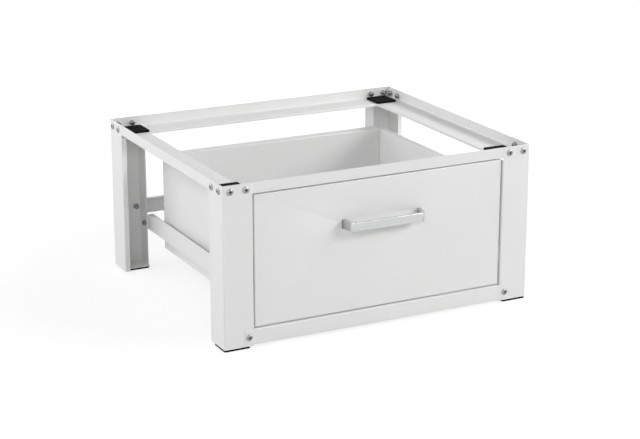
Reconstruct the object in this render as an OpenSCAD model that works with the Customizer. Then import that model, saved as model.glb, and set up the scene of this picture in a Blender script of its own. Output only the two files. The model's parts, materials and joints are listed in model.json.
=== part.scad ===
// Stand for a washing machine with a drawer: folded sheet steel frame that is bolted
// together, a sheet steel drawer on two full extension ball slides, rubber pads below
// the legs and on the ledge that the machine stands on.
// Millimetres. Z is up, the drawer opens towards -Y, the origin is on the floor in the
// middle of the bounding box.

/* [Frame] */
// width over the legs
frame_w = 630; // [560:5:760]
// depth over the legs
frame_d = 540; // [500:5:680]
// height from the floor to the top of the rim
frame_h = 305; // [280:5:420]
// thickness of the folded sheet
sheet_t = 1.2; // [0.8:0.1:1.6]
// outer radius of a fold
bend_r = 2.2; // [2:0.1:3]

/* [Legs] */
// width of a leg's front or rear face
leg_face_w = 58; // [50:1:80]
// width of a leg's side face
leg_side_w = 60; // [50:1:80]
// lip that turns back from the front or rear face and carries the runner
leg_face_lip = 38; // [30:1:46]
// lip that turns in from the side face
leg_side_lip = 10; // [6:1:16]
// depth of the plate that closes a leg at its foot
foot_plate_d = 46; // [42:1:49]

/* [Top rails] */
// height of the upright rim
rim_h = 21; // [19:1:32]
// width of the ledge inside the rim
ledge_w = 58; // [54:1:80]
// lip that turns down from the ledge
ledge_lip = 4.5; // [4:0.5:10]
// gap of the mitre where two top rails meet
mitre_gap = 0.3; // [0.2:0.1:1]

/* [Braces] */
// height of the front and rear brace
brace_h = 29.5; // [24:0.5:40]
// how far a brace laps over a leg
brace_lap = 18; // [15:1:24]
// depth of a brace's flanges between the legs
brace_flange = 10; // [5:1:18]
// distance of a brace bolt from the end of its brace
brace_bolt_in = 8; // [7:0.5:10]
// height of the front brace's lower edge
brace_front_z = 6; // [5:1:12]
// height of the rear brace's lower edge
brace_rear_z = 104.5; // [80:0.5:160]

/* [Runner rails] */
// height of the runner rail's lower edge
runner_z = 81; // [70:1:110]
// height of the runner rail between its tapers
runner_h = 37.5; // [36:0.5:50]
// height of the runner rail at its ends
runner_end_h = 28.5; // [22:0.5:34]
// length of the taper at each end
runner_taper = 80; // [40:5:100]
// distance of a taper's low end from the end of a leg's lip
taper_start = 3; // [0:1:10]
// distance of a runner rail's end from a leg's fold
runner_end_gap = 4; // [2:0.5:8]
// height of a runner bolt over the lower edge
runner_bolt_up = 10; // [9:0.5:14]
// distance of a runner bolt from the outside of its leg
runner_bolt_in = 30; // [22:1:32]
// height of the low head on a runner bolt
runner_head_h = 2; // [1:0.1:2.4]

/* [Bolts] */
// diameter of the frame bolts
bolt_d = 6; // [5:0.5:6]
// diameter of a bolt head
bolt_head_d = 12; // [10:0.5:13]
// height of a bolt head
bolt_head_h = 3; // [2:0.1:4]
// nut size across the flats
nut_af = 10; // [9:0.5:10]
// height of a nut
nut_h = 5; // [4:0.5:6]
// length of thread past a nut
bolt_tail = 2; // [1:0.5:4]
// distance of the first rim bolt from the leg's corner
bolt_first = 15; // [14:0.5:18]
// distance between the two rim bolts of a leg face
bolt_pitch = 30; // [20:1:32]
// depth of a rim bolt below the top edge
bolt_drop = 11.5; // [9:0.5:12]
// radial play of every bolt and rivet hole
hole_play = 0.2; // [0.1:0.05:0.4]

/* [Pads] */
// long side of a pad
pad_l = 50; // [40:1:52]
// short side of a pad
pad_w = 45; // [36:1:48]
// thickness of a pad
pad_t = 4; // [2:0.5:6]
// corner radius of a pad
pad_r = 3; // [1:0.5:6]
// distance of a front foot pad from the outside of its leg's side
front_pad_in = 0.5; // [0:0.5:6]
// distance of a rear foot pad from the outside of its leg's side
rear_pad_in = 6.5; // [0:0.5:7]
// distance of a foot pad from the outside of its leg's face
foot_pad_back = 0.5; // [0:0.5:6]
// distance of a ledge pad from the outside of the frame's side
ledge_pad_in = 15; // [14:0.5:18]
// distance of a front ledge pad from the outside of the frame's front
front_ledge_pad_back = 19; // [10:0.5:24]
// distance of a rear ledge pad from the outside of the frame's rear
rear_ledge_pad_back = 10; // [10:0.5:24]

/* [Drawer] */
// gap between the front panel and a leg
panel_side_gap = 3.5; // [2:0.5:6]
// gap above and below the front panel
panel_gap = 2; // [1.5:0.5:4]
// distance of the front panel behind the legs' front faces
panel_setback = 2; // [1:0.5:8]
// depth of the front panel's folded edge
panel_depth = 16; // [12:1:20]
// lip behind the front panel's folded edge
panel_lip = 26; // [24:1:40]
// depth of the drawer box
box_depth = 430; // [380:2:440]
// height of the box's lower edge
box_z = 53; // [45:1:70]
// height of the box walls
box_h = 190; // [120:2:210]
// outward flange along the top of a side wall
side_flange = 8; // [5:0.5:9]
// inward flange at the ends of a side wall
end_flange = 15; // [12:1:18]
// inward flange that carries the floor
floor_flange = 13; // [12:1:20]
// rearward flange along the top of the back wall
back_flange = 21; // [14:1:30]
// lip that turns down from that flange
back_lip = 10; // [5:1:16]
// gap between each end of the back wall and the side wall beside it
back_side_gap = 2.4; // [1.3:0.1:3]
// length of the two slots in that flange
back_slot_l = 14; // [6:1:20]
// width of the two slots in that flange, which start behind its bend
back_slot_w = 6; // [4:0.5:8]
// distance of a slot from the end of the back wall
back_slot_in = 36; // [20:1:60]
// distance of the first floor rivet from the end of the box
floor_rivet_in = 45; // [30:1:80]
// number of floor rivets along each side
floor_rivet_count = 4; // [2:1:6]
// distance of the outer screws from the top and bottom of the box
box_screw_in = 22; // [15:1:40]
// clearance between sheets that stand beside each other
sheet_gap = 0.3; // [0.2:0.1:0.6]

/* [Slides] */
// height of the slide's outer channel
slide_h = 27; // [27:0.5:30]
// distance of the slide below the top of the runner rail
slide_drop = 7; // [2:0.5:8]
// width that a slide takes up between runner rail and drawer
slide_w = 12.6; // [12.5:0.1:14]
// length of a slide
slide_len = 450; // [400:10:460]
// distance of the slide's front end behind the legs' front faces
slide_front = 48; // [42:1:50]
// distance of the outer rivets from the ends that they hold
slide_rivet_in = 30; // [15:1:50]
// thickness of the slide's channels
slide_t = 1; // [0.8:0.1:1.1]
// inner radius of a fold in the slide's channels
slide_fold = 0.6; // [0.4:0.1:0.8]
// how far the outer channel stays clear of the drawer
slide_clear = 2; // [1.6:0.1:2.4]
// length by which the moving channels end before the stop
slide_end_gap = 0.5; // [0.3:0.1:2]
// diameter of the slide's balls
ball_d = 3.1; // [3:0.05:3.2]
// play of the balls between two channels
ball_play = 0.1; // [0.04:0.02:0.2]
// number of balls in a strip
ball_count = 9; // [5:1:12]
// distance between the balls of a strip
ball_pitch = 22; // [14:1:22]
// thickness of a ball strip
strip_t = 0.6; // [0.5:0.1:1]
// width of a ball strip beside its balls, both sides together
strip_rim = 0.5; // [0.3:0.1:0.6]
// length of a ball strip past its last ball
strip_end = 3; // [1:0.5:6]
// height of the tab that stops the slide at the rear
stop_h = 12; // [8:1:14]

/* [Handle] */
// width over the feet of the handle
handle_w = 162; // [110:1:240]
// height of the handle
handle_h = 17; // [12:0.5:24]
// reach of the handle in front of the panel
handle_reach = 30; // [24:1:45]
// thickness of the grip
grip_t = 4; // [3:0.5:7]
// thickness of the handle's legs
handle_leg_t = 7; // [6.5:0.5:10]
// slope of the handle's legs
handle_slope = 12; // [0:1:16]
// outer radius of the handle's bends
handle_r = 12; // [7:0.5:14]
// radius of the grip's front edges
grip_edge_r = 1.5; // [0.5:0.1:2.5]
// height of the handle's middle over the floor
handle_z = 204.5; // [150:0.5:220]
// depth of the screw holes in the handle
handle_bore = 11; // [8:1:14]

/* [Small fasteners] */
// diameter of the drawer's screws
screw_d = 4; // [3:0.5:4]
// head diameter of the drawer's screws
screw_head_d = 8; // [6:0.5:8]
// head height of the drawer's screws
screw_head_h = 2.2; // [1.5:0.1:3]
// length of a screw's end past the last sheet
screw_tail = 3; // [1:0.5:5]
// shank diameter of a rivet
rivet_d = 3.2; // [2.4:0.1:4]
// head diameter of a rivet
rivet_head_d = 6; // [5:0.5:6.5]
// head height of a rivet
rivet_head_h = 1; // [0.6:0.1:1.2]

/* [Hidden] */
$fn = 48;

hw = frame_w / 2;
hd = frame_d / 2;
t = sheet_t;
eps = 0.01;

// half of a length, with a little more so that two halves always meet
function share(l) = l / 2 + eps;

// heights of the top rails
ledge_z = frame_h - rim_h;
ledge_top = ledge_z + t;
ledge_under = ledge_top - ledge_lip;
leg_lip_top = ledge_under - sheet_gap - t;
bolt_z = frame_h - bolt_drop;

// widths between the legs
leg_gap = frame_w - 2 * leg_face_w;
brace_l = leg_gap + 2 * brace_lap;
brace_bolt_x = brace_l / 2 - brace_bolt_in;
brace_bolt_front_z = brace_front_z + brace_h / 2;
brace_bolt_rear_z = brace_rear_z + brace_h / 2;

// runner rails stand against the legs' lips, the slides against the runner rails
runner_x = leg_gap / 2;
slide_x = runner_x - t;
box_x = slide_x - slide_w;
runner_top = runner_z + runner_h;
slide_z = runner_top - slide_drop - slide_h / 2;
runner_bolt_z = runner_z + runner_bolt_up;
runner_half_l = hd - bend_r - runner_end_gap;

// a brace's flanges lie between the runner rails
brace_flange_l = 2 * (slide_x - sheet_gap);

// drawer
panel_y = -hd + panel_setback;
panel_back = panel_y + panel_depth;
panel_x = runner_x - panel_side_gap;
panel_z0 = brace_front_z + brace_h + panel_gap;
panel_z1 = ledge_z - panel_gap;
box_y0 = panel_back;
box_y1 = box_y0 + box_depth;
box_top = box_z + box_h;
inner_x = box_x - bend_r - sheet_gap;
back_x = box_x - t - back_side_gap;
wall_z = box_z + t;
flange_x = box_x - end_flange / 2 - t / 2;

// slide channels, measured from the runner rail: the gap between a rivet's head and the
// middle channel, and between the edge of a flange and the next channel
web_gap = 1.2;
flange_end = 0.4;
slide_y0 = -hd + slide_front;
slide_y1 = slide_y0 + slide_len;
slide_r = slide_t + slide_fold;
outer_hh = slide_h / 2;
middle_hh = outer_hh - slide_t - ball_d - ball_play;
inner_hh = middle_hh - slide_t - ball_d - ball_play;
middle_u = slide_t + rivet_head_h + web_gap;
channel_u = slide_w - slide_clear;
ball_u = (middle_u + channel_u) / 2 + flange_end;
ball_hole = ball_d + 0.06;
strip_w = ball_d + strip_rim;
strip_l = (ball_count - 1) * ball_pitch + ball_d + 2 * strip_end;
inner_u = ball_u - strip_w / 2 - flange_end;
moving_l = slide_len - slide_t - slide_end_gap;
strip_y = (slide_y0 + slide_y1) / 2;
outer_ball_z = (outer_hh - slide_t + middle_hh) / 2;
inner_ball_z = (middle_hh - slide_t + inner_hh) / 2;
rivet_ys = [slide_y0 + slide_rivet_in, (slide_y0 + box_y1) / 2, box_y1 - slide_rivet_in];

// the whole stand moves so that the origin is in the middle of its bounding box
y_front = min(panel_y - handle_reach, -hd - t - bolt_head_h);
y_back = hd + t + bolt_head_h;
y_shift = -(y_front + y_back) / 2;

white = [0.93, 0.93, 0.92];
black = [0.07, 0.07, 0.07];
zinc = [0.66, 0.67, 0.68];
slide_zinc = [0.55, 0.56, 0.57];
satin = [0.78, 0.78, 0.78];

module placed() { translate([0, y_shift, 0]) children(); }

// two arms of sheet with a fold between them, the outer corner on the origin
module fold_2d(a, b, th, r) {
  translate([r, 0]) square([a - r, th]);
  translate([0, r]) square([th, b - r]);
  translate([r, r]) intersection() {
    difference() { circle(r); circle(r - th); }
    translate([-r, -r]) square(r);
  }
}

// one of the frame's four corners: 0 along x is the leg's outer side, 0 along y its face
module at_corner(sx, sy) {
  translate([sx * hw, sy * hd, 0]) mirror([sx > 0 ? 1 : 0, 0, 0])
    mirror([0, sy > 0 ? 1 : 0, 0]) children();
}

module each_corner() {
  for (sx = [-1, 1], sy = [-1, 1]) at_corner(sx, sy) children();
}

module on_side(s) { mirror([s > 0 ? 1 : 0, 0, 0]) children(); }

module round_rect(a, b, r) {
  translate([r, 0]) square([a - 2 * r, b]);
  translate([0, r]) square([a, b - 2 * r]);
  for (x = [r, a - r], y = [r, b - r]) translate([x, y]) circle(r);
}

// turn a shape drawn along +Z so that it runs along +X or along +Y
module along_x() { rotate([0, 90, 0]) children(); }
module along_y() { rotate([-90, 0, 0]) children(); }

module rim_bolt_places() {
  for (k = [0, 1]) {
    translate([bolt_first + k * bolt_pitch, 0, bolt_z]) along_y() children();
    translate([0, bolt_first + k * bolt_pitch, bolt_z]) along_x() children();
  }
}

// ---- legs ----

module leg_section() {
  fold_2d(share(leg_face_w), share(leg_side_w), t, bend_r);
  translate([leg_face_w, 0]) mirror([1, 0]) fold_2d(share(leg_face_w), leg_face_lip, t, bend_r);
  translate([0, leg_side_w]) mirror([0, 1]) fold_2d(leg_side_lip, share(leg_side_w), t, bend_r);
}

module leg(brace_z) {
  hole_d = bolt_d + 2 * hole_play;
  brace_in = hw - brace_bolt_x;
  difference() {
    union() {
      translate([0, 0, pad_t]) linear_extrude(frame_h - pad_t) leg_section();
      translate([t / 2, t / 2, pad_t]) cube([leg_face_w - t, foot_plate_d, t]);
    }
    translate([t, t, leg_lip_top]) cube([leg_face_w, leg_side_w, frame_h]);
    rim_bolt_places() translate([0, 0, -1]) cylinder(h = t + 2, d = hole_d);
    translate([brace_in, -1, brace_z]) along_y() cylinder(h = t + 2, d = hole_d);
    translate([leg_face_w - t - 1, runner_bolt_in, runner_bolt_z]) along_x()
      cylinder(h = t + 2, d = hole_d);
  }
}

module leg_at(sx, sy) {
  color(white) placed() at_corner(sx, sy)
    leg(sy < 0 ? brace_bolt_front_z : brace_bolt_rear_z);
}

module leg_front_left() leg_at(-1, -1);
module leg_front_right() leg_at(1, -1);
module leg_rear_left() leg_at(-1, 1);
module leg_rear_right() leg_at(1, 1);

// ---- top rails ----

module top_rail_section() {
  fold_2d(share(ledge_w), rim_h, t, bend_r);
  translate([ledge_w, t]) mirror([1, 0]) mirror([0, 1])
    fold_2d(share(ledge_w), ledge_lip, t, bend_r);
}

// along x, the rim's outer face on y = 0, the ledge towards +y, mitred at both ends
module top_rail(l) {
  half = l / 2 - mitre_gap;
  difference() {
    intersection() {
      translate([-l / 2, 0, 0]) rotate([90, 0, 90]) linear_extrude(l) top_rail_section();
      translate([0, 0, -ledge_lip]) linear_extrude(ledge_lip + rim_h + 1)
        polygon([[-half, 0], [half, 0], [half - ledge_w, ledge_w], [ledge_w - half, ledge_w]]);
    }
    for (s = [-1, 1], k = [0, 1])
      translate([s * (l / 2 + t - bolt_first - k * bolt_pitch), -1, rim_h - bolt_drop])
        along_y() cylinder(h = t + 2, d = bolt_d + 2 * hole_play);
  }
}

module top_rail_across(s) {
  color(white) placed() mirror([0, s > 0 ? 1 : 0, 0])
    translate([0, -hd + t, ledge_z]) top_rail(frame_w - 2 * t);
}

module top_rail_along(s) {
  color(white) placed() on_side(s)
    translate([-hw + t, 0, ledge_z]) rotate([0, 0, -90]) top_rail(frame_d - 2 * t);
}

module top_rail_front() top_rail_across(-1);
module top_rail_rear() top_rail_across(1);
module top_rail_left() top_rail_along(-1);
module top_rail_right() top_rail_along(1);

// ---- braces across the front and the rear, outside the legs ----

module brace(z0) {
  difference() {
    translate([0, -hd - t, z0]) union() {
      translate([-brace_l / 2, 0, 0]) cube([brace_l, t, brace_h]);
      translate([-brace_flange_l / 2, 0, 0]) rotate([90, 0, 90]) linear_extrude(brace_flange_l) {
        fold_2d(brace_flange, share(brace_h), t, bend_r);
        translate([0, brace_h]) mirror([0, 1]) fold_2d(brace_flange, share(brace_h), t, bend_r);
      }
    }
    fold_relief(z0);
    for (s = [-1, 1]) translate([s * brace_bolt_x, -hd - t - 1, z0 + brace_h / 2]) along_y()
      cylinder(h = t + 2, d = bolt_d + 2 * hole_play);
  }
}

// between the legs the brace's edges are folded, so the flat sheet ends short of them
module fold_relief(z0) {
  for (z = [z0, z0 + brace_h - bend_r]) difference() {
    translate([-brace_flange_l / 2, -hd - t - eps, z - (z == z0 ? eps : 0)])
      cube([brace_flange_l, bend_r, bend_r + eps]);
    translate([-brace_flange_l / 2 - 1, -hd - t + bend_r, z == z0 ? z0 + bend_r : z]) along_x()
      cylinder(h = brace_flange_l + 2, r = bend_r);
  }
}

module brace_front() color(white) placed() brace(brace_front_z);
module brace_rear() color(white) placed() mirror([0, 1, 0]) brace(brace_rear_z);

// ---- runner rails that carry the slides ----

module runner_rail() {
  y_end = runner_half_l;
  y_low = hd - leg_face_lip + taper_start;
  y_high = y_low - runner_taper;
  difference() {
    translate([-runner_x, 0, 0]) rotate([90, 0, 90]) linear_extrude(t) polygon([
      [-y_end, runner_z], [y_end, runner_z], [y_end, runner_z + runner_end_h],
      [y_low, runner_z + runner_end_h], [y_high, runner_top], [-y_high, runner_top],
      [-y_low, runner_z + runner_end_h], [-y_end, runner_z + runner_end_h]]);
    for (s = [-1, 1]) translate([-runner_x - 1, s * (hd - runner_bolt_in), runner_bolt_z])
      along_x() cylinder(h = t + 2, d = bolt_d + 2 * hole_play);
    for (y = rivet_ys) translate([-runner_x - 1, y, slide_z]) along_x()
      cylinder(h = t + 2, d = rivet_d + 2 * hole_play);
  }
}

module runner_rail_left() color(white) placed() runner_rail();
module runner_rail_right() color(white) placed() on_side(1) runner_rail();

// ---- rubber pads ----

module foot_pad_at(sx, sy) {
  color(black) placed() at_corner(sx, sy)
    translate([sy < 0 ? front_pad_in : rear_pad_in, foot_pad_back, 0]) linear_extrude(pad_t)
      round_rect(pad_l, pad_w, pad_r);
}

module ledge_pad_at(sx, sy) {
  color(black) placed() at_corner(sx, sy)
    translate([ledge_pad_in, sy < 0 ? front_ledge_pad_back : rear_ledge_pad_back, ledge_top])
      linear_extrude(pad_t) round_rect(pad_w, pad_l, pad_r);
}

module foot_pad_front_left() foot_pad_at(-1, -1);
module foot_pad_front_right() foot_pad_at(1, -1);
module foot_pad_rear_left() foot_pad_at(-1, 1);
module foot_pad_rear_right() foot_pad_at(1, 1);
module ledge_pad_front_left() ledge_pad_at(-1, -1);
module ledge_pad_front_right() ledge_pad_at(1, -1);
module ledge_pad_rear_left() ledge_pad_at(-1, 1);
module ledge_pad_rear_right() ledge_pad_at(1, 1);

// ---- bolts and nuts, drawn along +Z from under the head ----

module dome_2d(r, h) {
  flat = h * 0.45;
  sr = (r * r + (h - flat) * (h - flat)) / (2 * (h - flat));
  square([r, flat]);
  intersection() {
    translate([0, h - sr]) circle(sr, $fn = 120);
    translate([0, flat - eps]) square([r, h]);
  }
}

module bolt(d, head_d, head_h, l) {
  cross_w = head_d * 0.14;
  cross_l = head_d * 0.52;
  difference() {
    mirror([0, 0, 1]) rotate_extrude() dome_2d(head_d / 2, head_h);
    for (a = [0, 90]) rotate([0, 0, a])
      translate([-cross_l / 2, -cross_w / 2, -head_h - 1]) cube([cross_l, cross_w, head_h * 0.55 + 1]);
  }
  translate([0, 0, -eps]) cylinder(h = l + eps, d = d);
}

module nut() {
  difference() {
    cylinder(h = nut_h, d = nut_af / cos(30), $fn = 6);
    translate([0, 0, -1]) cylinder(h = nut_h + 2, d = bolt_d + 2 * hole_play);
  }
}

module rim_bolts() color(zinc) placed() each_corner() rim_bolt_places()
  bolt(bolt_d, bolt_head_d, bolt_head_h, 2 * t + nut_h + bolt_tail);

module rim_nuts() color(zinc) placed() each_corner() rim_bolt_places()
  translate([0, 0, 2 * t]) nut();

module brace_bolt_places() {
  for (sx = [-1, 1], sy = [-1, 1]) mirror([0, sy > 0 ? 1 : 0, 0])
    translate([sx * brace_bolt_x, -hd - t, sy < 0 ? brace_bolt_front_z : brace_bolt_rear_z])
      along_y() children();
}

module brace_bolts() color(zinc) placed() brace_bolt_places()
  bolt(bolt_d, bolt_head_d, bolt_head_h, 2 * t + nut_h + bolt_tail);

module brace_nuts() color(zinc) placed() brace_bolt_places() translate([0, 0, 2 * t]) nut();

// runner bolts have their low heads towards the drawer
module runner_bolt_places() {
  for (sx = [-1, 1], sy = [-1, 1]) on_side(sx)
    translate([-runner_x + t, sy * (hd - runner_bolt_in), runner_bolt_z]) rotate([0, -90, 0]) children();
}

module runner_bolts() color(zinc) placed() runner_bolt_places()
  bolt(bolt_d, bolt_head_d, runner_head_h, 2 * t + nut_h + bolt_tail);

module runner_nuts() color(zinc) placed() runner_bolt_places() translate([0, 0, 2 * t]) nut();

// rivet from the top of its first head through a stack of sheets, with a second head if asked
module rivet(grip, second) {
  rotate_extrude() {
    translate([0, -eps]) square([rivet_d / 2, grip + (second ? 2 * eps : eps)]);
    mirror([0, 1]) dome_2d(rivet_head_d / 2, rivet_head_h);
    if (second) translate([0, grip]) dome_2d(rivet_head_d / 2, rivet_head_h * 0.8);
  }
}

// ---- slides: x from the runner rail towards the drawer, y along, z from the middle ----

module at_slide(s) {
  color(slide_zinc) placed() on_side(s) translate([-slide_x, slide_y0, slide_z]) children();
}

// channel with its web at u0 and its flanges towards u1, lips turned in where asked
module channel_2d(u0, u1, hh, lip) {
  for (m = [0, 1]) mirror([0, m]) {
    translate([u0, -hh]) fold_2d(lip > 0 ? share(u1 - u0) : u1 - u0, hh + eps, slide_t, slide_r);
    if (lip > 0) translate([u1, -hh]) mirror([1, 0])
      fold_2d(share(u1 - u0), lip, slide_t, slide_r);
  }
}

module channel(u0, u1, hh, lip, l) {
  translate([0, l, 0]) rotate([90, 0, 0]) linear_extrude(l) channel_2d(u0, u1, hh, lip);
}

module slide_channel() {
  difference() {
    union() {
      channel(0, channel_u, outer_hh, slide_t + ball_d * 0.45, slide_len);
      translate([0, slide_len - slide_t, -stop_h / 2]) cube([channel_u, slide_t, stop_h]);
    }
    for (y = rivet_ys) translate([-1, y - slide_y0, 0]) along_x()
      cylinder(h = slide_t + 2, d = rivet_d + 2 * hole_play);
  }
}

module slide_middle() {
  channel(middle_u, channel_u - flange_end, middle_hh, 0, moving_l);
}

module slide_inner() {
  difference() {
    translate([slide_w, 0, 0]) mirror([1, 0, 0])
      channel(0, slide_w - inner_u, inner_hh, 0, moving_l);
    for (y = rivet_ys) translate([slide_w - slide_t - 1, y - slide_y0, 0]) along_x()
      cylinder(h = slide_t + 2, d = rivet_d + 2 * hole_play);
  }
}

// an upper and a lower strip with a row of balls in each
module ball_strips(z) {
  y0 = (slide_len - strip_l) / 2;
  for (s = [-1, 1]) translate([ball_u, y0, s * z]) {
    difference() {
      translate([-strip_w / 2, 0, -strip_t / 2]) cube([strip_w, strip_l, strip_t]);
      ball_places() translate([0, 0, -strip_t]) cylinder(h = 2 * strip_t, d = ball_hole, $fn = 24);
    }
    ball_places() sphere(d = ball_d, $fn = 24);
  }
}

module ball_places() {
  for (i = [0 : ball_count - 1])
    translate([0, strip_end + ball_d / 2 + i * ball_pitch, 0]) children();
}

module slide_channel_left() at_slide(-1) slide_channel();
module slide_channel_right() at_slide(1) slide_channel();
module slide_middle_left() at_slide(-1) slide_middle();
module slide_middle_right() at_slide(1) slide_middle();
module slide_inner_left() at_slide(-1) slide_inner();
module slide_inner_right() at_slide(1) slide_inner();
module ball_strips_outer_left() at_slide(-1) ball_strips(outer_ball_z);
module ball_strips_outer_right() at_slide(1) ball_strips(outer_ball_z);
module ball_strips_inner_left() at_slide(-1) ball_strips(inner_ball_z);
module ball_strips_inner_right() at_slide(1) ball_strips(inner_ball_z);

module slide_rivets(s) {
  color(white) placed() on_side(s) for (y = rivet_ys)
    translate([-slide_x + slide_t, y, slide_z]) rotate([0, -90, 0]) rivet(slide_t + t, false);
}

module slide_rivets_left() slide_rivets(-1);
module slide_rivets_right() slide_rivets(1);

module drawer_slide_rivets() {
  color(zinc) placed() for (s = [-1, 1]) on_side(s) for (y = rivet_ys)
    translate([-box_x - slide_t, y, slide_z]) along_x() rivet(slide_t + t, true);
}

// ---- drawer ----

// a box with its front edges rounded: x and z are centred, the front is at y = 0
module pan(w, d, z0, z1, r) {
  intersection() {
    translate([0, 0, z0]) linear_extrude(z1 - z0) {
      translate([-w / 2 + r, 0]) square([w - 2 * r, d]);
      translate([-w / 2, r]) square([w, d - r]);
      for (s = [-1, 1]) translate([s * (w / 2 - r), r]) circle(r);
    }
    translate([-w / 2, 0, 0]) rotate([90, 0, 90]) linear_extrude(w) {
      translate([r, z0]) square([d - r, z1 - z0]);
      translate([0, z0 + r]) square([d, z1 - z0 - 2 * r]);
      for (z = [z0 + r, z1 - r]) translate([r, z]) circle(r);
    }
  }
}

module drawer_panel() {
  w = 2 * panel_x;
  color(white) placed() translate([0, panel_y, 0]) difference() {
    pan(w, panel_depth, panel_z0, panel_z1, bend_r);
    translate([0, t, 0]) pan(w - 2 * t, panel_depth - 2 * t, panel_z0 + t, panel_z1 - t, bend_r - t);
    translate([-w / 2 + panel_lip, panel_depth - t - 1, panel_z0 + panel_lip])
      cube([w - 2 * panel_lip, t + 2, panel_z1 - panel_z0 - 2 * panel_lip]);
    for (s = [-1, 1]) {
      translate([s * handle_screw_x, -1, handle_z]) along_y() cylinder(h = t + 2, d = screw_bore);
      for (z = panel_screw_zs) translate([s * flange_x, panel_depth - t - 1, z]) along_y()
        cylinder(h = t + 2, d = screw_bore);
    }
  }
}

screw_bore = screw_d + 2 * hole_play;
panel_screw_zs = [box_z + box_screw_in, box_z + box_h / 2, box_top - box_screw_in];
handle_screw_x = handle_w / 2 - handle_leg_t / 2 / cos(handle_slope) - handle_bore / 2 * tan(handle_slope);

module drawer_inner_front() {
  color(white) placed() translate([0, box_y0 + t, 0]) difference() {
    translate([-inner_x, 0, wall_z]) cube([2 * inner_x, t, box_top - wall_z]);
    for (s = [-1, 1]) {
      translate([s * handle_screw_x, -1, handle_z]) along_y() cylinder(h = t + 2, d = screw_bore);
      for (z = panel_screw_zs) translate([s * flange_x, -1, z]) along_y()
        cylinder(h = t + 2, d = screw_bore);
    }
  }
}

// side wall: flanges in at both ends and at the bottom, flange out along the top
module drawer_side() {
  difference() {
    union() {
      translate([-box_x, box_y0, box_z]) linear_extrude(box_h - bend_r) {
        fold_2d(end_flange, share(box_depth), t, bend_r);
        translate([0, box_depth]) mirror([0, 1]) fold_2d(end_flange, share(box_depth), t, bend_r);
      }
      translate([-box_x, box_y0 + bend_r, box_z]) rotate([90, 0, 90]) {
        linear_extrude(t) square([box_depth - 2 * bend_r, box_h - bend_r]);
      }
      translate([-box_x, box_y1 - bend_r, 0]) rotate([90, 0, 0])
        linear_extrude(box_depth - 2 * bend_r) side_section();
    }
    side_fold_relief();
    for (z = panel_screw_zs) translate([-flange_x, box_y0 - 1, z]) along_y()
      cylinder(h = t + 2, d = screw_bore);
    for (z = panel_screw_zs) translate([-flange_x, box_y1 - t - 1, z]) along_y()
      cylinder(h = t + 2, d = rivet_d + 2 * hole_play);
    for (y = floor_rivet_ys) translate([-floor_rivet_x, y, box_z - 1])
      cylinder(h = t + 2, d = rivet_d + 2 * hole_play);
    for (y = rivet_ys) translate([-box_x - 1, y, slide_z]) along_x()
      cylinder(h = t + 2, d = rivet_d + 2 * hole_play);
  }
}

module side_section() {
  translate([0, box_z]) fold_2d(floor_flange, share(box_h), t, bend_r);
  translate([t, box_top]) mirror([1, 0]) mirror([0, 1])
    fold_2d(side_flange + t, share(box_h), t, bend_r);
}

// the plain sheet stops where its lower and upper edges are folded
module side_fold_relief() {
  translate([-box_x - eps, box_y0 + bend_r, box_z - eps]) difference() {
    cube([bend_r, box_depth - 2 * bend_r, bend_r + eps]);
    translate([bend_r + eps, -1, bend_r + eps]) along_y() cylinder(h = box_depth, r = bend_r);
  }
}

floor_rivet_x = box_x - floor_flange / 2 - t;
floor_rivet_step = (box_depth - 2 * floor_rivet_in) / (floor_rivet_count - 1);
floor_rivet_ys = [for (i = [0 : floor_rivet_count - 1])
  box_y0 + floor_rivet_in + i * floor_rivet_step];

module drawer_side_left() color(white) placed() drawer_side();
module drawer_side_right() color(white) placed() on_side(1) drawer_side();

module drawer_back() {
  y1 = box_y1 - t;
  slot_y = y1 - t + bend_r + sheet_gap;
  top_l = back_flange + 2 * t;
  color(white) placed() difference() {
    translate([-back_x, y1 - t, 0]) rotate([90, 0, 90]) linear_extrude(2 * back_x) {
      translate([0, wall_z]) square([t, share(box_h)]);
      translate([0, box_top]) mirror([0, 1]) fold_2d(share(top_l), share(box_h), t, bend_r);
      translate([top_l, box_top]) mirror([0, 1]) mirror([1, 0])
        fold_2d(share(top_l), back_lip, t, bend_r);
    }
    for (s = [-1, 1]) {
      translate([s * (back_x - back_slot_in), slot_y + back_slot_w / 2, box_top - t / 2])
        cube([back_slot_l, back_slot_w, t + 2], center = true);
      for (z = panel_screw_zs) translate([s * flange_x, y1 - t - 1, z]) along_y()
        cylinder(h = t + 2, d = rivet_d + 2 * hole_play);
    }
  }
}

module drawer_floor() {
  y0 = box_y0 + 2 * t + sheet_gap;
  y1 = box_y1 - 2 * t - sheet_gap;
  color(white) placed() difference() {
    translate([-inner_x, y0, wall_z]) cube([2 * inner_x, y1 - y0, t]);
    for (s = [-1, 1], y = floor_rivet_ys) translate([s * floor_rivet_x, y, box_z])
      cylinder(h = 2 * t + 1, d = rivet_d + 2 * hole_play);
  }
}

module floor_rivets() {
  color(white) placed() for (s = [-1, 1], y = floor_rivet_ys)
    translate([s * floor_rivet_x, y, box_z]) rivet(2 * t, true);
}

module back_rivets() {
  color(white) placed() for (s = [-1, 1], z = panel_screw_zs)
    translate([s * flange_x, box_y1 - 2 * t, z]) along_y() rivet(2 * t, true);
}

module panel_screws() {
  color(zinc) placed() for (s = [-1, 1], z = panel_screw_zs)
    translate([s * flange_x, box_y0 + 2 * t, z]) rotate([90, 0, 0])
      bolt(screw_d, screw_head_d, screw_head_h, 3 * t + screw_tail);
}

// ---- handle ----

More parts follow.
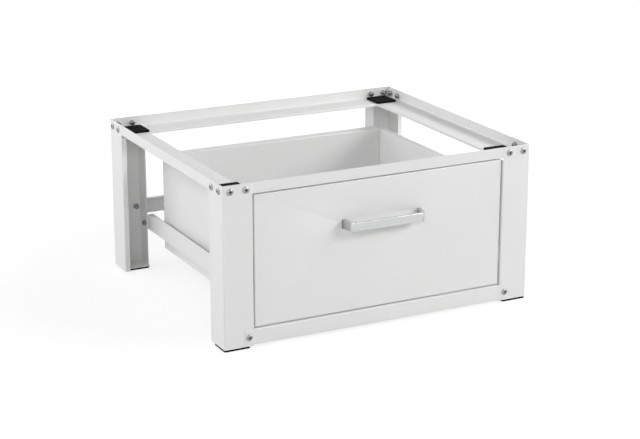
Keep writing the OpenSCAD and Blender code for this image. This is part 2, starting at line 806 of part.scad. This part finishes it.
// filled outline of a bow whose legs slope in towards the grip, feet on y = 0
module bow_2d(xf, d, r) {
  cx = xf - (r + (d - r) * sin(handle_slope)) / cos(handle_slope);
  tx = cx + r * cos(handle_slope);
  ty = r - d - r * sin(handle_slope);
  polygon([[-xf, 0], [-tx, ty], [-cx, -d], [cx, -d], [tx, ty], [xf, 0]]);
  for (s = [-1, 1]) translate([s * cx, r - d]) circle(r);
}

module handle() {
  r = grip_edge_r;
  color(satin) placed() translate([0, panel_y, handle_z]) difference() {
    intersection() {
      translate([0, 0, -handle_h / 2]) linear_extrude(handle_h) difference() {
        bow_2d(handle_w / 2, handle_reach, handle_r);
        translate([0, 1]) bow_2d(handle_w / 2 - (handle_leg_t - sin(handle_slope)) / cos(handle_slope),
          handle_reach - grip_t + 1, handle_r - grip_t);
      }
      translate([-handle_w, 0, 0]) rotate([90, 0, 90]) linear_extrude(2 * handle_w) {
        translate([r - handle_reach, -handle_h / 2]) square([handle_reach - r, handle_h]);
        translate([-handle_reach, r - handle_h / 2]) square([handle_reach, handle_h - 2 * r]);
        for (s = [-1, 1]) translate([r - handle_reach, s * (handle_h / 2 - r)]) circle(r);
      }
    }
    for (s = [-1, 1]) translate([s * handle_screw_x, -handle_bore, 0]) along_y()
      cylinder(h = handle_bore + 1, d = screw_bore);
  }
}

module handle_screws() {
  color(zinc) placed() for (s = [-1, 1])
    translate([s * handle_screw_x, box_y0 + 2 * t, handle_z]) rotate([90, 0, 0])
      bolt(screw_d, screw_head_d, screw_head_h, 2 * t + panel_depth + handle_bore - 1);
}

leg_front_left();
leg_front_right();
leg_rear_left();
leg_rear_right();
top_rail_front();
top_rail_rear();
top_rail_left();
top_rail_right();
brace_front();
brace_rear();
runner_rail_left();
runner_rail_right();
foot_pad_front_left();
foot_pad_front_right();
foot_pad_rear_left();
foot_pad_rear_right();
ledge_pad_front_left();
ledge_pad_front_right();
ledge_pad_rear_left();
ledge_pad_rear_right();
rim_bolts();
rim_nuts();
brace_bolts();
brace_nuts();
runner_bolts();
runner_nuts();
slide_channel_left();
slide_channel_right();
slide_rivets_left();
slide_rivets_right();
slide_middle_left();
slide_middle_right();
ball_strips_outer_left();
ball_strips_outer_right();
ball_strips_inner_left();
ball_strips_inner_right();
slide_inner_left();
slide_inner_right();
drawer_slide_rivets();
drawer_panel();
drawer_inner_front();
drawer_side_left();
drawer_side_right();
drawer_back();
drawer_floor();
floor_rivets();
back_rivets();
panel_screws();
handle();
handle_screws();
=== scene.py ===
"""Looks of a stand for a washing machine with a drawer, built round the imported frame.

Metres. X to the right, Y to the rear, Z up; the drawer opens towards -Y.
"""

import json
import math

import bmesh
import bpy
from mathutils import Matrix, Vector


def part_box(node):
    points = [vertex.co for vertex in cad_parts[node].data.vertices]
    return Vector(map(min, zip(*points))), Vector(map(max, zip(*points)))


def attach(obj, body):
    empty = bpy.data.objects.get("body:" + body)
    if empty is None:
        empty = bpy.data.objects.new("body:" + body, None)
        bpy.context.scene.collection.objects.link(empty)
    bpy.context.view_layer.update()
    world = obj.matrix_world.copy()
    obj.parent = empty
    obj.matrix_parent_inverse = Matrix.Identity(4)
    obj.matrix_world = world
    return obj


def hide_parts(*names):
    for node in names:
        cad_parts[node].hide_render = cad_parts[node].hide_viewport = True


MM = 0.001
SAME_POINT = 0.002 * MM  # points of the frame that lie closer than this are one point

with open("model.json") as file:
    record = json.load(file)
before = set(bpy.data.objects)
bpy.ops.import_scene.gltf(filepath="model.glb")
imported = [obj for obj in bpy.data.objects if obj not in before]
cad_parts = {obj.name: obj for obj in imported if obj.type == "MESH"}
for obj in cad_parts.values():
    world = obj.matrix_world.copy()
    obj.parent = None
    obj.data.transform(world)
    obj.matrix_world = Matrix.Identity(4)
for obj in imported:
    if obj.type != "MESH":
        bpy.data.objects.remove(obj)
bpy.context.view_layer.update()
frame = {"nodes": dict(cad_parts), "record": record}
NODES = frame["nodes"]


# ---- camera, found from the corners of the legs in the photograph ----

CAMERA_PLACE = (-1.488, -2.916, 1.149)
CAMERA_AZIMUTH = -27.13
CAMERA_ELEVATION = 17.28
CAMERA_LENS = 99.25


def make_camera():
    data = bpy.data.cameras.new("camera")
    data.sensor_width = 36
    data.lens = CAMERA_LENS
    camera = bpy.data.objects.new("camera", data)
    camera.location = CAMERA_PLACE
    camera.rotation_euler = (math.radians(90 - CAMERA_ELEVATION), 0, math.radians(CAMERA_AZIMUTH))
    bpy.context.scene.collection.objects.link(camera)
    bpy.context.scene.camera = camera


# ---- lights, floor and background ----

WORLD_LIGHT = 0.1  # strength of the white world as it lights matt surfaces
LAMPS = {
    # name: (place, width, height, power), each turned towards AIM
    "key": ((1.9, -2.4, 1.7), 1.4, 1.0, 38),
    "front_left": ((-1.6, -2.6, 1.6), 1.4, 1.0, 18),
    "left": ((-3.0, -0.6, 1.6), 3.2, 2.4, 25),
    "left_high": ((-2.2, 0.2, 2.0), 1.6, 1.2, 14),
    "right": ((2.8, -0.4, 1.4), 1.6, 1.2, 26),
    "right_wide": ((3.0, -0.5, 1.8), 3.2, 2.4, 31),
    "rear_left": ((-2.2, 2.0, 1.2), 1.6, 1.2, 21),
    "rear_right": ((2.2, 2.0, 1.6), 1.6, 1.2, 11),
}
AIM = Vector((0, -0.1, 0.15))  # a point inside the drawer


def make_lamp(name, place, width, height, power):
    data = bpy.data.lights.new(name, "AREA")
    data.shape = "RECTANGLE"
    data.size = width
    data.size_y = height
    data.energy = power
    lamp = bpy.data.objects.new(name, data)
    lamp.location = place
    lamp.rotation_euler = (AIM - Vector(place)).to_track_quat("-Z", "Y").to_euler()
    bpy.context.scene.collection.objects.link(lamp)


class Tree:
    """A node tree, with short calls to add nodes and link their sockets."""

    def __init__(self, tree):
        self.tree = tree
        self.tree.nodes.clear()

    def add(self, kind, inputs=None, **settings):
        made = self.tree.nodes.new(kind)
        for key, value in settings.items():
            setattr(made, key, value)
        for key, value in (inputs or {}).items():
            if isinstance(value, bpy.types.NodeSocket):
                self.tree.links.new(value, made.inputs[key])
            else:
                made.inputs[key].default_value = value
        return made

    def math(self, operation, a, b=0.0, clamp=False):
        return self.add("ShaderNodeMath", {0: a, 1: b}, operation=operation, use_clamp=clamp).outputs[0]

    def mix_colours(self, share, a, b):
        made = self.add("ShaderNodeMix", {0: share, 6: a, 7: b}, data_type="RGBA")
        return made.outputs[2]

    def noise(self, place, scale, detail=3.0, roughness=0.5):
        made = self.add("ShaderNodeTexNoise", {"Vector": place, "Scale": scale, "Detail": detail,
                                               "Roughness": roughness})
        return made.outputs["Fac"]

    def blend(self, a, b, share):
        """The sum of two values, share of it from b."""
        return self.math("ADD", self.math("MULTIPLY", a, 1 - share), self.math("MULTIPLY", b, share))

    def span(self, value, low, high):
        """value from 0 to 1 becomes low to high."""
        made = self.add("ShaderNodeMapRange", {"Value": value, "To Min": low, "To Max": high})
        return made.outputs["Result"]

    def seen(self):
        """1 for what the camera, gloss or glass sees, 0 for what lights a matt surface."""
        path = self.add("ShaderNodeLightPath")
        either = self.math("MAXIMUM", path.outputs["Is Camera Ray"], path.outputs["Is Glossy Ray"])
        return self.math("MAXIMUM", either, path.outputs["Is Transmission Ray"])


def make_world():
    world = bpy.data.worlds.new("studio")
    bpy.context.scene.world = world
    world.use_nodes = True
    tree = Tree(world.node_tree)
    seen = tree.seen()
    strength = tree.span(seen, WORLD_LIGHT, 1.0)
    background = tree.add("ShaderNodeBackground", {"Color": (1, 1, 1, 1), "Strength": strength})
    tree.add("ShaderNodeOutputWorld", {"Surface": background.outputs[0]})


FLOOR_HALF = 14.0  # half the floor's side
FLOOR_COLOUR = (0.82, 0.82, 0.82, 1)
FLOOR_WHITE = 1.28  # strength of the floor's own white, which lights nothing
FLOOR_SHARE_NEAR = 0.58  # share of that white where the object's shadow falls
FLOOR_SHARE_FAR = 0.85
FLOOR_NEAR = 0.5  # distances from the origin where the shares start and end
FLOOR_FAR = 1.3


def make_floor():
    """A pale floor that keeps a faint shadow of the object and is white elsewhere."""
    mesh = bpy.data.meshes.new("floor")
    grid = bmesh.new()
    bmesh.ops.create_grid(grid, x_segments=4, y_segments=4, size=FLOOR_HALF)
    grid.to_mesh(mesh)
    grid.free()
    floor = bpy.data.objects.new("floor", mesh)
    bpy.context.scene.collection.objects.link(floor)
    material = bpy.data.materials.new("studio_floor")
    material.use_nodes = True
    tree = Tree(material.node_tree)
    paper = tree.add("ShaderNodeBsdfDiffuse", {"Color": FLOOR_COLOUR})
    glow = tree.add("ShaderNodeEmission", {"Color": (1, 1, 1, 1), "Strength": FLOOR_WHITE})
    place = tree.add("ShaderNodeTexCoord").outputs["Object"]
    away = tree.add("ShaderNodeVectorMath", {0: place}, operation="LENGTH").outputs["Value"]
    reach = tree.add("ShaderNodeMapRange", {
        "Value": away, "From Min": FLOOR_NEAR, "From Max": FLOOR_FAR,
        "To Min": FLOOR_SHARE_NEAR, "To Max": FLOOR_SHARE_FAR}, interpolation_type="SMOOTHSTEP")
    share = tree.math("MULTIPLY", tree.seen(), reach.outputs["Result"])
    both = tree.add("ShaderNodeMixShader", {0: share, 1: paper.outputs[0], 2: glow.outputs[0]})
    tree.add("ShaderNodeOutputMaterial", {"Surface": both.outputs[0]})
    mesh.materials.append(material)


# ---- materials ----

PAINTED_SHADE = "painted_shade"  # name of the value, from 0 to 1, that a fastener's points carry: how much painted shade their recesses get
# colour of the painted shade in the recesses of fastener heads
PAINTED_SHADE_COLOUR = (0.03, 0.029, 0.028, 1)
RUBBER_BLACK = (0.003, 0.003, 0.003, 1)
RUBBER_DUSTY = (0.012, 0.0117, 0.0115, 1)
ALUMINIUM_DARK = (0.48, 0.483, 0.487, 1)
ALUMINIUM_LIGHT = (0.66, 0.663, 0.667, 1)
# colour of the painted shade at the handle's feet, where they meet the panel
ALUMINIUM_FOOT_SHADE = (0.3, 0.302, 0.305, 1)


def new_material(name):
    material = bpy.data.materials.new(name)
    material.use_nodes = True
    tree = Tree(material.node_tree)
    place = tree.add("ShaderNodeTexCoord").outputs["Object"]
    return material, tree, place


def stretched(tree, place, x, y, z):
    made = tree.add("ShaderNodeMapping", {"Vector": place, "Scale": (x, y, z)})
    return made.outputs["Vector"]


def bump(tree, height, depth, strength=1.0):
    made = tree.add("ShaderNodeBump", {"Height": height, "Distance": depth, "Strength": strength})
    return made.outputs["Normal"]


def surface(tree, **inputs):
    shader = tree.add("ShaderNodeBsdfPrincipled", {k.replace("_", " "): v for k, v in inputs.items()})
    tree.add("ShaderNodeOutputMaterial", {"Surface": shader.outputs[0]})


def powder_coat(name, light, dark):
    """White powder coat on steel: a fine orange peel, faint clouds in colour and gloss."""
    material, tree, place = new_material(name)
    clouds = tree.noise(place, scale=9, detail=4)
    specks = tree.noise(place, scale=2600, detail=2)
    peel = tree.noise(place, scale=620, detail=2, roughness=0.45)
    gloss = tree.noise(place, scale=60)
    surface(
        tree,
        Base_Color=tree.mix_colours(tree.blend(specks, clouds, 0.8), dark, light),
        Roughness=tree.span(gloss, 0.36, 0.48),
        Normal=bump(tree, tree.math("ADD", peel, tree.math("MULTIPLY", specks, 0.15)),
                    depth=0.06 * MM, strength=0.5),
        Specular_IOR_Level=0.4,
    )
    return material


def rubber(name):
    """Black rubber with a fine grain and a trace of dust."""
    material, tree, place = new_material(name)
    grain = tree.noise(place, scale=1500, detail=4, roughness=0.6)
    dust = tree.noise(place, scale=40, detail=5)
    surface(
        tree,
        Base_Color=tree.mix_colours(tree.math("MULTIPLY", dust, grain), RUBBER_BLACK, RUBBER_DUSTY),
        Roughness=tree.span(dust, 0.75, 0.92),
        Normal=bump(tree, grain, depth=0.2 * MM, strength=0.5),
        Specular_IOR_Level=0.05,
    )
    return material


def plated(name, light, dark, low, high, grain):
    """Plated steel: small crystals that differ a little in tone, and painted shade in the recesses of
    heads, which are also made rougher.

    Roughness goes from low to high.
    """
    material, tree, place = new_material(name)
    cells = tree.add("ShaderNodeTexVoronoi", {"Vector": place, "Scale": grain}).outputs["Color"]
    tone = tree.add("ShaderNodeSeparateColor", {0: cells}).outputs[0]
    film = tree.noise(place, scale=240)
    # painted shade: points that carry the value turn darker and rougher
    painted_shade = tree.add("ShaderNodeAttribute", attribute_name=PAINTED_SHADE).outputs["Fac"]
    unshaded = tree.mix_colours(tree.blend(tone, film, 0.65), dark, light)
    surface(
        tree,
        Base_Color=tree.mix_colours(painted_shade, unshaded, PAINTED_SHADE_COLOUR),
        Metallic=1.0,
        Roughness=tree.math("ADD", tree.span(film, low, high), tree.math("MULTIPLY", painted_shade, 0.4)),
        Normal=bump(tree, tree.noise(place, scale=grain), depth=0.05 * MM, strength=0.4),
    )
    return material


def brushed(name, foot_y, grip_y):
    """Satin aluminium, brushed along X, with painted shade that is darkest at foot_y, where the
    handle's feet meet the panel, and gone by grip_y.
    """
    material, tree, place = new_material(name)
    lines = tree.noise(stretched(tree, place, 14, 900, 900), scale=1, detail=4, roughness=0.65)
    fine = tree.noise(stretched(tree, place, 30, 3500, 3500), scale=1, roughness=0.6)
    film = tree.noise(place, scale=60)
    # share without painted shade: 0 at the feet, 1 from grip_y on
    depth = tree.add("ShaderNodeSeparateXYZ", {0: place}).outputs["Y"]
    unshaded = tree.add("ShaderNodeMapRange", {"Value": depth, "From Min": foot_y, "From Max": grip_y,
                                            "To Min": 0.0, "To Max": 1.0}).outputs["Result"]
    tone = tree.mix_colours(lines, ALUMINIUM_DARK, ALUMINIUM_LIGHT)
    surface(
        tree,
        Base_Color=tree.mix_colours(unshaded, ALUMINIUM_FOOT_SHADE, tone),
        Metallic=1.0,
        Roughness=tree.math("ADD", tree.span(fine, 0.2, 0.28), tree.math("MULTIPLY", film, 0.05)),
        Normal=bump(tree, fine, depth=0.05 * MM, strength=0.9),
    )
    return material


HANDLE_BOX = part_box("handle")
FOOT_SHADE_DEPTH = 7 * MM  # how far the painted shade reaches from the ends of the handle's feet
MATERIALS = {
    "white_steel": powder_coat("powder_coat_white", (0.87, 0.873, 0.865, 1), (0.83, 0.833, 0.828, 1)),
    "rubber_pad": rubber("black_rubber"),
    # the zinc of the fasteners takes painted shade in the recesses of heads
    "zinc_fastener": plated("bright_zinc", (0.46, 0.463, 0.467, 1), (0.23, 0.233, 0.237, 1),
                            low=0.16, high=0.32, grain=2200),
    "slide_steel": plated("slide_zinc", (0.62, 0.63, 0.64, 1), (0.46, 0.47, 0.49, 1),
                          low=0.26, high=0.44, grain=900),
    "ball_strip_steel": plated("oiled_steel", (0.62, 0.62, 0.61, 1), (0.46, 0.46, 0.46, 1),
                               low=0.18, high=0.34, grain=2200),
    # the handle's painted shade starts at the ends of its feet
    "handle_metal": brushed("satin_aluminium", HANDLE_BOX[1][1], HANDLE_BOX[1][1] - FOOT_SHADE_DEPTH),
}


def slot_of(node):
    for part in frame["record"]["subparts"]:
        if part["node"] == node:
            return part["material_slot"]
    raise KeyError(node)


def body_of(node):
    for body, nodes in frame["record"]["behaviour"]["bodies"].items():
        if node in nodes:
            return body
    raise KeyError(node)


def dress_nodes():
    for name, node in NODES.items():
        node.data.materials.clear()
        node.data.materials.append(MATERIALS[slot_of(name)])


# ---- softened edges ----

FLAT_ANGLE = math.radians(0.5)
SHARP_ANGLE = math.radians(35)
EDGE_ROUND = {
    # material slot: width of the rounding
    "white_steel": 0.22 * MM,
    "rubber_pad": 0.7 * MM,
    "handle_metal": 0.35 * MM,
    "slide_steel": 0.15 * MM,
}


def soften_edges():
    """Modifiers join the triangles of flat faces and round the edges between faces."""
    for name, node in NODES.items():
        width = EDGE_ROUND.get(slot_of(name))
        if width is None:
            continue
        weld = node.modifiers.new("weld", "WELD")
        weld.merge_threshold = SAME_POINT
        flat = node.modifiers.new("flat", "DECIMATE")
        flat.decimate_type = "DISSOLVE"
        flat.angle_limit = FLAT_ANGLE
        bevel = node.modifiers.new("edges", "BEVEL")
        bevel.width = width
        bevel.segments = 2
        bevel.limit_method = "ANGLE"
        bevel.angle_limit = SHARP_ANGLE
        bevel.harden_normals = True


# ---- bolts, nuts and screws, finer than the plain CAD ones that they stand for ----

END_ZONE = 0.4  # an end starts this far from the middle, as a share of the length
HEAD_EDGE = 0.97  # points beyond this share of the largest radius are a head's edge
HEX_SIDES = 6
NUT_ANGLES = 72
NUT_CHAMFER = 1.73  # how far a nut's corners are cut back for each unit of height
NUT_FACE = 0.96  # radius of a nut's flat face, as a share of half its size across flats
NUT_RISES = (0.0, 0.25 * MM, 0.5 * MM, 0.8 * MM)  # rings of its chamfer, from the face
NUT_LIP = 0.3 * MM  # chamfer of its bore
CROSS_HALF_L = 0.26  # half length of a cross recess, as a share of the head's diameter
CROSS_HALF_W = 0.07
CROSS_DEPTH = 0.55  # as a share of the head's height
CROSS_CORE = 0.06  # size of the ring in the middle of a recess, as a share of its mouth
CROSS_FLOOR = 0.74  # size of a recess's floor, as a share of its mouth
CROSS_SLOPE = 0.06  # rise of that floor, as a share of the head's height
CROSS_MOUTH = 0.03  # how far the mouth lies below the dome, as a share of the head's height
CROSS_ROUND = 1.08  # size of the mouth's rounding, as a share of the mouth
ROUND_AT = 0.74  # where the cross has turned into a circle, as a share of the head's radius
TO_ROUND = (0.0, 0.35, 0.7, 1.0)  # rings on the way there
DOME_RINGS = (0.82, 0.9, 0.96, 0.99)  # rings beyond it, as shares of the head's radius
HEAD_SIDE = 0.42  # height of a head's upright side, as a share of the head's height
HEAD_FILLET = 0.06  # how far that side's edges are eased, as a share of the head's height
HEAD_FOOT = 0.98  # size of the head's underside, as a share of its radius
NECK_SHARE = 0.35  # length of a plain neck, as a share of the shank
NECK_MOST = 3 * MM
THREAD_PITCH = 1.0 * MM
THREAD_DEPTH = 0.45 * MM
THREAD_STEPS = 6  # rings for each turn of a thread
THREAD_FLANK = 1.6  # steepness of its flanks: above 1, its grooves have a flat bottom
THREAD_END = 1.4  # chamfer at its end, as a share of its depth
RECESS_PAINTED_SHADE = (1.0, 1.0, 0.7, 0.25)  # strength of the painted shade, from the middle of a recess to just past its edge
BOLT_SPIN = math.radians(47)  # each recess stands turned by this against the one before


class Fastener:
    """Where a fastener of the frame stands and how large it is, read from its points."""

    def __init__(self, points):
        low = Vector([min(p[a] for p in points) for a in range(3)])
        high = Vector([max(p[a] for p in points) for a in range(3)])
        size = high - low
        # the axis is the side of the box that is unlike both others
        axis = max(range(3), key=lambda a: min(abs(size[a] - size[b]) for b in range(3) if b != a))
        self.way = Vector([float(a == axis) for a in range(3)])
        self.middle = (low + high) / 2
        self.length = size[axis]
        self.wide = max(size[a] for a in range(3) if a != axis)
        self.narrow = min(size[a] for a in range(3) if a != axis)
        self.points = [(self.along(p), self.off(p)) for p in points]
        if self.end_radius(-1) < self.end_radius(1):
            self.way = -self.way
            self.points = [(-along, off) for along, off in self.points]

    def along(self, point):
        return (point - self.middle).dot(self.way)

    def off(self, point):
        way = point - self.middle
        return (way - self.way * way.dot(self.way)).length

    def end_radius(self, side):
        """Largest distance from the axis at one end."""
        return max(off for along, off in self.points if side * along > END_ZONE * self.length)

    def bore(self):
        """Smallest distance from the axis."""
        return min(off for along, off in self.points)

    def head_height(self):
        """Distance from the head's top to its underside."""
        edge = HEAD_EDGE * self.wide / 2
        return self.length / 2 + max(along for along, off in self.points if off > edge)

    def matrix(self, along, spin):
        """Takes +Z at the origin to the axis, from a point of it, turned by spin about it."""
        turn = self.way.to_track_quat("Z", "Y").to_matrix().to_4x4()
        return Matrix.Translation(self.middle + self.way * along) @ turn @ Matrix.Rotation(spin, 4, "Z")


def loose_parts(node):
    """The points of each separate solid of a CAD node, in the row frame."""
    solids = bmesh.new()
    solids.from_mesh(node.data)
    solids.transform(node.matrix_world)
    bmesh.ops.remove_doubles(solids, verts=solids.verts, dist=SAME_POINT)
    left = set(solids.verts)
    parts = []
    while left:
        reach, part = [left.pop()], []
        while reach:
            vert = reach.pop()
            part.append(vert.co.copy())
            near = {edge.other_vert(vert) for edge in vert.link_edges} & left
            left -= near
            reach += near
        parts.append(part)
    solids.free()
    return sorted(parts, key=lambda part: tuple(round(x, 5) for x in sum(part, Vector()) / len(part)))


def ring(angles, reach, height):
    """Points round the axis: reach and height are numbers or functions of the angle."""
    at = [(reach(a) if callable(reach) else reach, height(a) if callable(height) else height, a)
          for a in angles]
    return [Vector((r * math.cos(a), r * math.sin(a), z)) for r, z, a in at]


def skin(mesh, rings, matrix, looped=False, painted_shade=()):
    """Faces between each ring and the next. Unlooped ends are closed with one face each.

    The last argument holds the strength of painted shade for the first rings; the others get none.
    """
    made = [[mesh.verts.new(matrix @ p) for p in points] for points in rings]
    layer = mesh.verts.layers.float[PAINTED_SHADE]
    for verts, value in zip(made, painted_shade):
        for vert in verts:
            vert[layer] = value
    pairs = list(zip(made, made[1:] + made[:1]))
    for a, b in pairs if looped else pairs[:-1]:
        for k in range(len(a)):
            mesh.faces.new((a[k - 1], a[k], b[k], b[k - 1]))
    if not looped:
        mesh.faces.new(made[0][::-1])
        mesh.faces.new(made[-1])


def cross_angles():
    """Angles round a cross recess, with one at each of its corners."""
    corner = math.atan2(CROSS_HALF_W, CROSS_HALF_L)
    eighth = math.pi / 4
    side = [eighth - (eighth - corner) * k / 4 for k in range(4)]
    quarter = [-a for a in side] + [corner * (k / 2 - 1) for k in range(5)] + side[:0:-1]
    return [quad * math.pi / 2 + a for quad in range(4) for a in quarter]


def cross_reach(angle, scale):
    """Distance from the axis to the edge of a cross recess of that scale."""
    long, short = sorted((abs(math.cos(angle)), abs(math.sin(angle))), reverse=True)
    return scale * min(CROSS_HALF_L / long, CROSS_HALF_W / max(short, 1e-9))


def head_rings(angles, wide, height):
    """From the bottom of the recess over the dome and down the side to the underside."""
    radius = wide / 2

    def dome(r):
        return -height * (HEAD_SIDE + (1 - HEAD_SIDE) * math.sqrt(max(0.0, 1 - (r / radius) ** 2)))

    def cross(share):
        return lambda a: share * cross_reach(a, wide)

    def between(share):
        """From the mouth's rounding, at 0, to a circle, at 1."""
        return lambda a: (1 - share) * CROSS_ROUND * cross_reach(a, wide) + share * ROUND_AT * radius

    bottom = -height * (1 - CROSS_DEPTH)
    rings = [ring(angles, cross(CROSS_CORE), bottom),
             ring(angles, cross(CROSS_FLOOR), bottom - CROSS_SLOPE * height),
             ring(angles, cross(1.0), lambda a: dome(cross_reach(a, wide)) + CROSS_MOUTH * height)]
    for share in TO_ROUND:
        reach = between(share)
        rings.append(ring(angles, reach, lambda a, reach=reach: dome(reach(a))))
    for share in DOME_RINGS:
        rings.append(ring(angles, share * radius, dome(share * radius)))
    for share, drop in ((1.0, HEAD_SIDE - HEAD_FILLET), (1.0, HEAD_FILLET), (HEAD_FOOT, 0.0)):
        rings.append(ring(angles, share * radius, -drop * height))
    return rings


def thread_rings(angles, radius, start, end):
    """A plain neck, then a right-hand thread with a chamfered end."""
    steps = max(2, round((end - start) / THREAD_PITCH * THREAD_STEPS))
    rings = [ring(angles, radius, 0.0), ring(angles, radius, start)]
    for k in range(1, steps + 1):
        z = start + (end - start) * k / steps
        limit = radius - max(0.0, z - end + THREAD_DEPTH * THREAD_END)

        def reach(a, z=z, limit=limit):
            phase = (z / THREAD_PITCH - a / (2 * math.pi)) % 1.0
            return min(limit, radius - THREAD_DEPTH * min(1.0, THREAD_FLANK * abs(2 * phase - 1)))

        rings.append(ring(angles, reach, z))
    return rings


def add_bolt(mesh, fastener, spin):
    """A bolt or screw with its head at the fastener's wide end, turned by spin."""
    head = fastener.head_height()
    shank = fastener.end_radius(1)
    length = fastener.length - head
    angles = cross_angles()
    rings = head_rings(angles, fastener.wide, head)
    rings += thread_rings(angles, shank, min(NECK_SHARE * length, NECK_MOST), length)
    # the recess of the head gets painted shade
    skin(mesh, rings, fastener.matrix(head - fastener.length / 2, spin), painted_shade=RECESS_PAINTED_SHADE)


def add_nut(mesh, fastener, spin):
    """A hexagonal nut with chamfered corners and bore."""
    half = fastener.narrow / 2
    bore = fastener.bore()
    height = fastener.length
    step = 2 * math.pi / NUT_ANGLES
    angles = [k * step for k in range(NUT_ANGLES)]

    def outline(cone):
        """The hexagon's edge, cut back to the chamfer's cone."""
        side = 2 * math.pi / HEX_SIDES
        return lambda a: min(cone, half / math.cos((a + side / 2) % side - side / 2))

    cones = [outline(NUT_FACE * half + NUT_CHAMFER * z) for z in NUT_RISES]
    outside = [ring(angles, cone, z) for cone, z in zip(cones, NUT_RISES)]
    outside += [ring(angles, cone, height - z) for cone, z in zip(cones[::-1], NUT_RISES[::-1])]
    inside = [ring(angles, bore + NUT_LIP, height), ring(angles, bore, height - NUT_LIP),
              ring(angles, bore, NUT_LIP), ring(angles, bore + NUT_LIP, 0.0)]
    skin(mesh, outside + inside, fastener.matrix(-height / 2, spin), looped=True)


FINE_FASTENERS = {
    "rim_bolts": add_bolt,
    "brace_bolts": add_bolt,
    "runner_bolts": add_bolt,
    "panel_screws": add_bolt,
    "handle_screws": add_bolt,
    "rim_nuts": add_nut,
    "brace_nuts": add_nut,
    "runner_nuts": add_nut,
}


def make_fasteners():
    """One piece for each node of fasteners, which replaces that node."""
    for name, add in FINE_FASTENERS.items():
        mesh = bmesh.new()
        # each point carries a strength of painted shade
        mesh.verts.layers.float.new(PAINTED_SHADE)
        for number, points in enumerate(loose_parts(NODES[name])):
            add(mesh, Fastener(points), number * BOLT_SPIN if add is add_bolt else 0.0)
        bmesh.ops.recalc_face_normals(mesh, faces=mesh.faces)
        data = bpy.data.meshes.new(name + "_fine")
        mesh.to_mesh(data)
        mesh.free()
        data.shade_smooth()
        data.set_sharp_from_angle(angle=SHARP_ANGLE)
        data.materials.append(MATERIALS[slot_of(name)])
        piece = bpy.data.objects.new(name + "_fine", data)
        bpy.context.scene.collection.objects.link(piece)
        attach(piece, body_of(name))
        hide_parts(name)


# ---- build ----

make_camera()
make_world()
make_floor()
for lamp_name, settings in LAMPS.items():
    make_lamp(lamp_name, *settings)
dress_nodes()
soften_edges()
make_fasteners()

bpy.context.scene.view_settings.view_transform = "Standard"
